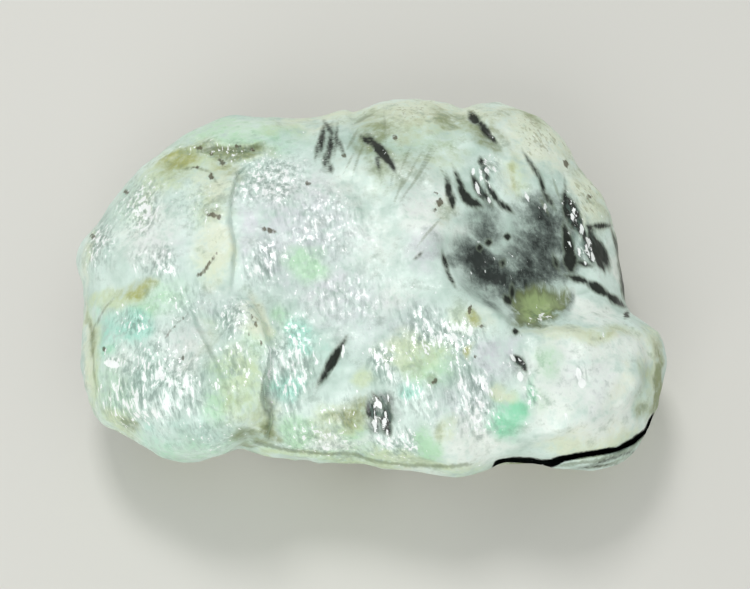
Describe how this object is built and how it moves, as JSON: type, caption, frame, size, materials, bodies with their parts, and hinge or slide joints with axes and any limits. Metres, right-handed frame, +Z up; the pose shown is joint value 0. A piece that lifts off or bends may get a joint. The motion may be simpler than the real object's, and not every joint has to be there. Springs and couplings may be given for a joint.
{
  "type": "raw jade boulder",
  "caption": "Water-worn raw jade cobble in one piece, with stepped ledges, an open parting and a worn flat underside to rest on.",
  "frame": {"origin": "middle of the stone's bounding box, on the plane of its worn flat underside", "axes": "+X along the stone's length towards its right-hand block, +Y away from the viewer of the picture, +Z up"},
  "size_m": [0.1196, 0.0868, 0.0399],
  "materials": {
    "jade": "wet, translucent jadeite: greyish white and lavender with mint and emerald green, cream skin and black inclusions, glossy over a fine sugary grain"
  },
  "bodies": {
    "root": {"boulder": "jade"}
  },
  "joints": []
}
